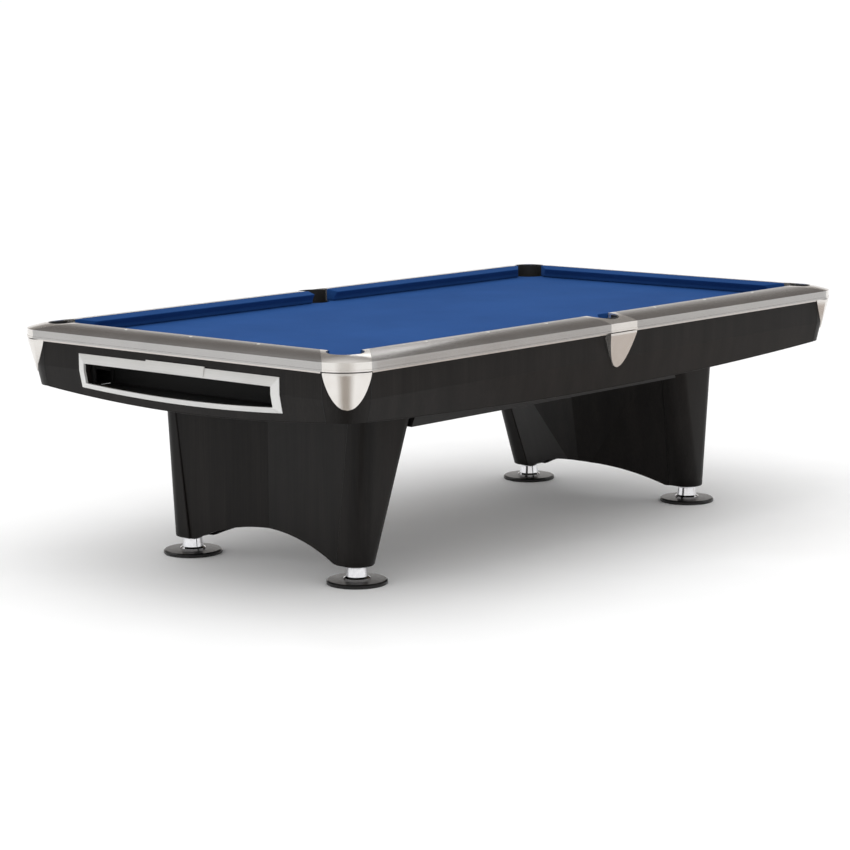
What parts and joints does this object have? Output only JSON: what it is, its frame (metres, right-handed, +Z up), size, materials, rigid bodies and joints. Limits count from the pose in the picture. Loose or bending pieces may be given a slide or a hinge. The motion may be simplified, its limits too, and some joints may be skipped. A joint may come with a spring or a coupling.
{
  "type": "pool table",
  "caption": "Full-size tournament pool table with metal rails, corner and side pocket castings, a ball return box and two arched pedestals on round screw feet.",
  "frame": {"origin": "centre of the footprint, on the floor", "axes": "+X along the length of the table, away from the ball box; +Y across the table; +Z up"},
  "size_m": [2.884, 1.614, 0.85],
  "materials": {
    "pad_black": "glossy black pad",
    "foot_chrome": "polished",
    "zinc_steel": "zinc plated",
    "cabinet_wood": "black-brown lacquered veneer",
    "black_timber": "black painted",
    "frame_timber": "plain sawn",
    "slate": "honed",
    "bed_cloth": "napped worsted cloth",
    "cushion": "rubber under worsted cloth",
    "rail_metal": "satin anodised",
    "trim_metal": "polished",
    "sight": "pearl white",
    "casting_nickel": "polished nickel plate",
    "bezel_metal": "brushed along its length",
    "black_lining": "matt black",
    "black_plastic": "matt black"
  },
  "bodies": {
    "table": {"foot_nuts": "zinc_steel", "leg_front_left": "cabinet_wood", "leg_front_right": "cabinet_wood", "leg_rear_left": "cabinet_wood", "leg_rear_right": "cabinet_wood", "outer_panel_front": "cabinet_wood", "outer_panel_rear": "cabinet_wood", "inner_panel_front": "cabinet_wood", "inner_panel_rear": "cabinet_wood", "pedestal_plates": "black_timber", "long_beams": "black_timber", "stretchers": "black_timber", "cross_beams": "frame_timber", "slate_backing": "frame_timber", "slate_front": "slate", "slate_middle": "slate", "slate_rear": "slate", "slate_screws": "zinc_steel", "bed_cloth": "bed_cloth", "cushion_front": "cushion", "cushion_rear": "cushion", "cushion_left_front": "cushion", "cushion_left_rear": "cushion", "cushion_right_front": "cushion", "cushion_right_rear": "cushion", "rail_cap_front": "rail_metal", "rail_cap_rear": "rail_metal", "rail_cap_left_front": "rail_metal", "rail_cap_left_rear": "rail_metal", "rail_cap_right_front": "rail_metal", "rail_cap_right_rear": "rail_metal", "rail_cores": "frame_timber", "rail_bolts": "zinc_steel", "sights": "sight", "corner_casting_front_left": "casting_nickel", "corner_casting_front_right": "casting_nickel", "corner_casting_rear_left": "casting_nickel", "corner_casting_rear_right": "casting_nickel", "side_casting_left": "casting_nickel", "side_casting_right": "casting_nickel", "shields": "casting_nickel", "side_apron_left": "cabinet_wood", "side_apron_right": "cabinet_wood", "end_apron_front": "cabinet_wood", "end_apron_rear": "cabinet_wood", "apron_corners": "cabinet_wood", "apron_trims": "trim_metal", "bezel": "bezel_metal", "name_plate": "bezel_metal", "ball_box": "black_lining", "ball_tracks": "black_plastic", "pocket_liners": "black_plastic"},
    "pad_front_left": {"foot_pad_front_left": "pad_black"},
    "stem_front_left": {"foot_stem_front_left": "foot_chrome"},
    "pad_front_right": {"foot_pad_front_right": "pad_black"},
    "stem_front_right": {"foot_stem_front_right": "foot_chrome"},
    "pad_rear_left": {"foot_pad_rear_left": "pad_black"},
    "stem_rear_left": {"foot_stem_rear_left": "foot_chrome"},
    "pad_rear_right": {"foot_pad_rear_right": "pad_black"},
    "stem_rear_right": {"foot_stem_rear_right": "foot_chrome"}
  },
  "joints": [
    {"name": "height_front_left", "type": "slide", "parent": "table", "child": "pad_front_left", "axis": [0, 0, -1], "range_m": [0, 0.02]},
    {"name": "screw_front_left", "type": "hinge", "parent": "pad_front_left", "child": "stem_front_left", "pos_m": [-0.968, 0.4, 0.05], "axis": [0, 0, 1], "range_deg": [0, 3600]},
    {"name": "height_front_right", "type": "slide", "parent": "table", "child": "pad_front_right", "axis": [0, 0, -1], "range_m": [0, 0.02]},
    {"name": "screw_front_right", "type": "hinge", "parent": "pad_front_right", "child": "stem_front_right", "pos_m": [-0.968, -0.4, 0.05], "axis": [0, 0, 1], "range_deg": [0, 3600]},
    {"name": "height_rear_left", "type": "slide", "parent": "table", "child": "pad_rear_left", "axis": [0, 0, -1], "range_m": [0, 0.02]},
    {"name": "screw_rear_left", "type": "hinge", "parent": "pad_rear_left", "child": "stem_rear_left", "pos_m": [0.968, 0.4, 0.05], "axis": [0, 0, 1], "range_deg": [0, 3600]},
    {"name": "height_rear_right", "type": "slide", "parent": "table", "child": "pad_rear_right", "axis": [0, 0, -1], "range_m": [0, 0.02]},
    {"name": "screw_rear_right", "type": "hinge", "parent": "pad_rear_right", "child": "stem_rear_right", "pos_m": [0.968, -0.4, 0.05], "axis": [0, 0, 1], "range_deg": [0, 3600]}
  ],
  "couplings": [
    {"joint": "height_front_left", "follows": "screw_front_left", "m_per_rad": 0.00031831},
    {"joint": "height_front_right", "follows": "screw_front_right", "m_per_rad": 0.00031831},
    {"joint": "height_rear_left", "follows": "screw_rear_left", "m_per_rad": 0.00031831},
    {"joint": "height_rear_right", "follows": "screw_rear_right", "m_per_rad": 0.00031831}
  ]
}
